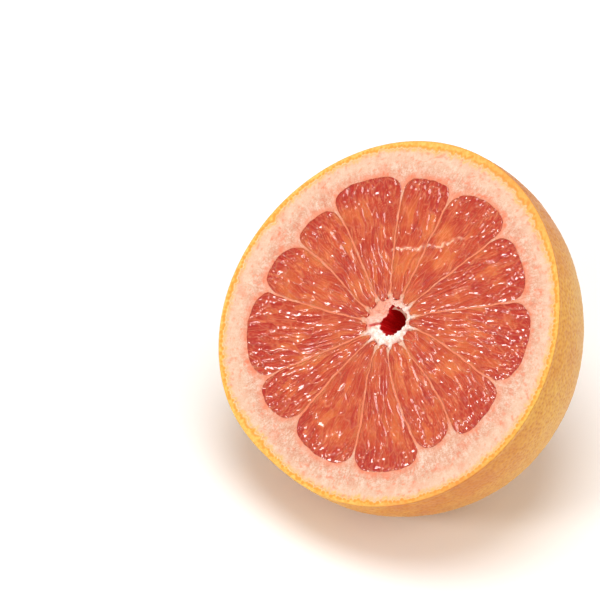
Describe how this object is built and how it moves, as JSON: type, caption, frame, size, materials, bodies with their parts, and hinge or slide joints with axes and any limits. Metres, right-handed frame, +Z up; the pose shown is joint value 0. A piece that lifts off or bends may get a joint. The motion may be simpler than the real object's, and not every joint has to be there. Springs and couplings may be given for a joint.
{
  "type": "half grapefruit",
  "caption": "Half of a pink grapefruit, with its cut face leaning back, resting on a small flat spot of its rind.",
  "frame": {"origin": "middle of the small flat spot on the rind that the half rests on", "axes": "+Z up, square to the flat spot; the cut face looks up and towards -Y, turned towards -X; the stem end is low at the back, towards +X and +Y"},
  "size_m": [0.1062, 0.1052, 0.0908],
  "materials": {
    "zest": "satin",
    "pith": "matte",
    "pulp": "gloss",
    "stem": "matte"
  },
  "bodies": {
    "root": {"zest": "zest", "pith": "pith", "segment_01": "pulp", "segment_02": "pulp", "segment_03": "pulp", "segment_04": "pulp", "segment_05": "pulp", "segment_06": "pulp", "segment_07": "pulp", "segment_08": "pulp", "segment_09": "pulp", "segment_10": "pulp", "segment_11": "pulp", "segment_12": "pulp", "segment_13": "pulp", "stem_button": "stem"}
  },
  "joints": []
}
